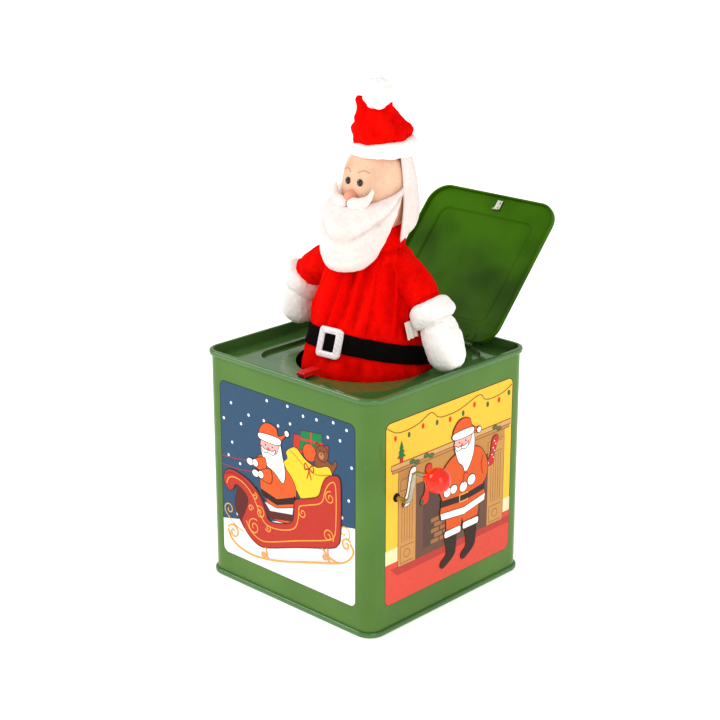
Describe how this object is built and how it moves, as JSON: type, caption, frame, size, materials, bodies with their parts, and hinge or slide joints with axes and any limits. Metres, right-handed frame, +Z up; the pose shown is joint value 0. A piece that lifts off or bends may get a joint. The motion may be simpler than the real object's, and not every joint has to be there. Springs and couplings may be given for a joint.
{
  "type": "jack in the box",
  "caption": "Square tin jack in the box with a side crank, pin-drum movement, latched hinged lid and a robed plush figure with beard and hat on a coil spring.",
  "frame": {"origin": "centre of the square base, on the surface the tin stands on", "axes": "+Z up, -Y the front face, +X the face with the crank; the lid is hinged at +Y"},
  "size_m": [0.1739, 0.1924, 0.3088],
  "materials": {
    "green_tin": "gloss enamel",
    "lid_tin": "gloss enamel",
    "dark_steel": "satin",
    "steel": "satin",
    "wire": "polished",
    "brass": "satin",
    "zinc": "zinc plated",
    "red_gloss": "gloss",
    "red_cap": "satin",
    "board": "raw",
    "skin": "short nap",
    "black_bead": "gloss",
    "white_fleece": "fleece",
    "red_plush": "short plush",
    "black_felt": "felt",
    "buckle_white": "glitter",
    "label_satin": "satin ribbon"
  },
  "bodies": {
    "box": {"body_shell": "green_tin", "top_panel": "green_tin", "bottom_panel": "green_tin", "box_leaf": "dark_steel", "box_leaf_rivets": "steel", "hinge_pin": "steel", "crank_bush": "brass", "movement_frame": "zinc", "comb": "steel", "comb_block": "zinc", "comb_screws": "steel", "latch_pin": "steel", "latch_clip": "steel", "latch_spring": "wire", "main_spring": "wire", "spring_base": "zinc", "spring_base_screws": "steel", "robe_ring": "zinc", "robe": "red_plush", "belt": "black_felt", "buckle": "buckle_white", "care_label": "label_satin"},
    "lid": {"lid": "lid_tin", "lid_leaf": "dark_steel", "lid_leaf_rivets": "steel", "lid_catch": "steel", "lid_catch_rivets": "steel"},
    "figure": {"shoulder_disc": "board", "head": "skin", "eyes": "black_bead", "nose": "skin", "moustache": "white_fleece", "beard": "white_fleece", "hair": "white_fleece", "hat": "red_plush", "hat_brim": "white_fleece", "pompom": "white_fleece", "sleeve_left": "red_plush", "sleeve_right": "red_plush", "cuff_left": "white_fleece", "cuff_right": "white_fleece", "mitten_left": "white_fleece", "mitten_right": "white_fleece"},
    "crank": {"crank": "wire", "crank_collar": "steel", "pinion": "brass"},
    "knob": {"crank_knob": "red_gloss"},
    "drum": {"drum": "brass", "drum_gear": "brass", "drum_shaft": "steel", "trip_cam": "brass"},
    "latch": {"latch_lever": "steel", "latch_cap": "red_cap"}
  },
  "joints": [
    {"name": "lid_hinge", "type": "hinge", "parent": "box", "child": "lid", "pos_m": [0, 0.0556, 0.1422], "axis": [1, 0, 0], "range_deg": [0, 131.6]},
    {"name": "pop_up", "type": "slide", "parent": "box", "child": "figure", "axis": [0, 0, 1], "range_m": [-0.181, 0], "stiffness_N_per_m": 40, "springref_m": 0.08, "deforming": ["robe", "belt", "buckle", "care_label", "main_spring", "sleeve_left", "sleeve_right", "cuff_left", "cuff_right", "mitten_left", "mitten_right"]},
    {"name": "crank_turn", "type": "hinge", "parent": "box", "child": "crank", "pos_m": [0.075, -0.0472, 0.08305], "axis": [1, 0, 0], "continuous": true},
    {"name": "knob_turn", "type": "hinge", "parent": "crank", "child": "knob", "pos_m": [0.0965, -0.044, 0.10075], "axis": [1, 0, 0], "continuous": true},
    {"name": "drum_turn", "type": "hinge", "parent": "box", "child": "drum", "pos_m": [0.033, -0.056, 0.09476], "axis": [1, 0, 0], "continuous": true},
    {"name": "latch_swing", "type": "hinge", "parent": "box", "child": "latch", "pos_m": [0.0015, -0.056, 0.113], "axis": [1, 0, 0], "range_deg": [0, 7], "stiffness_Nm_per_rad": 0.05, "springref_deg": -5.73}
  ],
  "couplings": [
    {"joint": "pop_up", "follows": "lid_hinge", "m_per_rad": -0.078803},
    {"joint": "drum_turn", "follows": "crank_turn", "ratio": -0.5}
  ]
}
